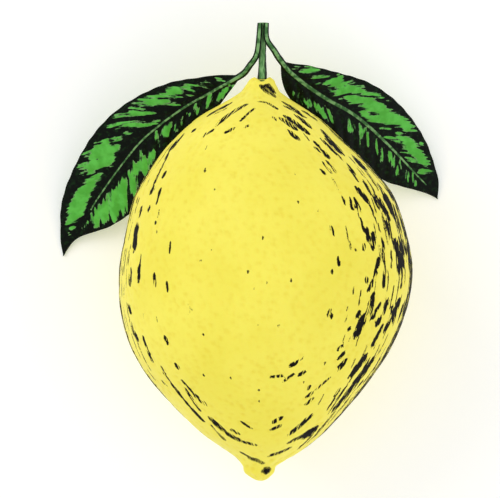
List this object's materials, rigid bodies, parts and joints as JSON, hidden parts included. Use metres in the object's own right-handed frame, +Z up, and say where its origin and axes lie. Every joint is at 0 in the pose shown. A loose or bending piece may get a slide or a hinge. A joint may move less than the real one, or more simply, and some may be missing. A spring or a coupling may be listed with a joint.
{
  "type": "lemon",
  "caption": "Picked lemon on its short green stalk, with calyx button and glossy leaves, lying on its side on a small flat spot.",
  "frame": {"origin": "middle of the small flat spot that the fruit rests on, under its belly, at table height", "axes": "+Y along the fruit's core to the stem end, +Z up from the table, +X to the right seen from above with the stem end away"},
  "size_m": [0.0846, 0.0976, 0.0619],
  "materials": {
    "rind": "waxy lemon rind with a fine orange-peel texture",
    "calyx_green": "matt dried green calyx",
    "stalk_green": "matt green bark, pale at the cut",
    "leaf_green": "glossy waxy citrus leaf"
  },
  "bodies": {
    "root": {"fruit": "rind", "calyx": "calyx_green", "fruit_stalk": "stalk_green", "leaf_left": "leaf_green", "leaf_right": "leaf_green"}
  },
  "joints": []
}
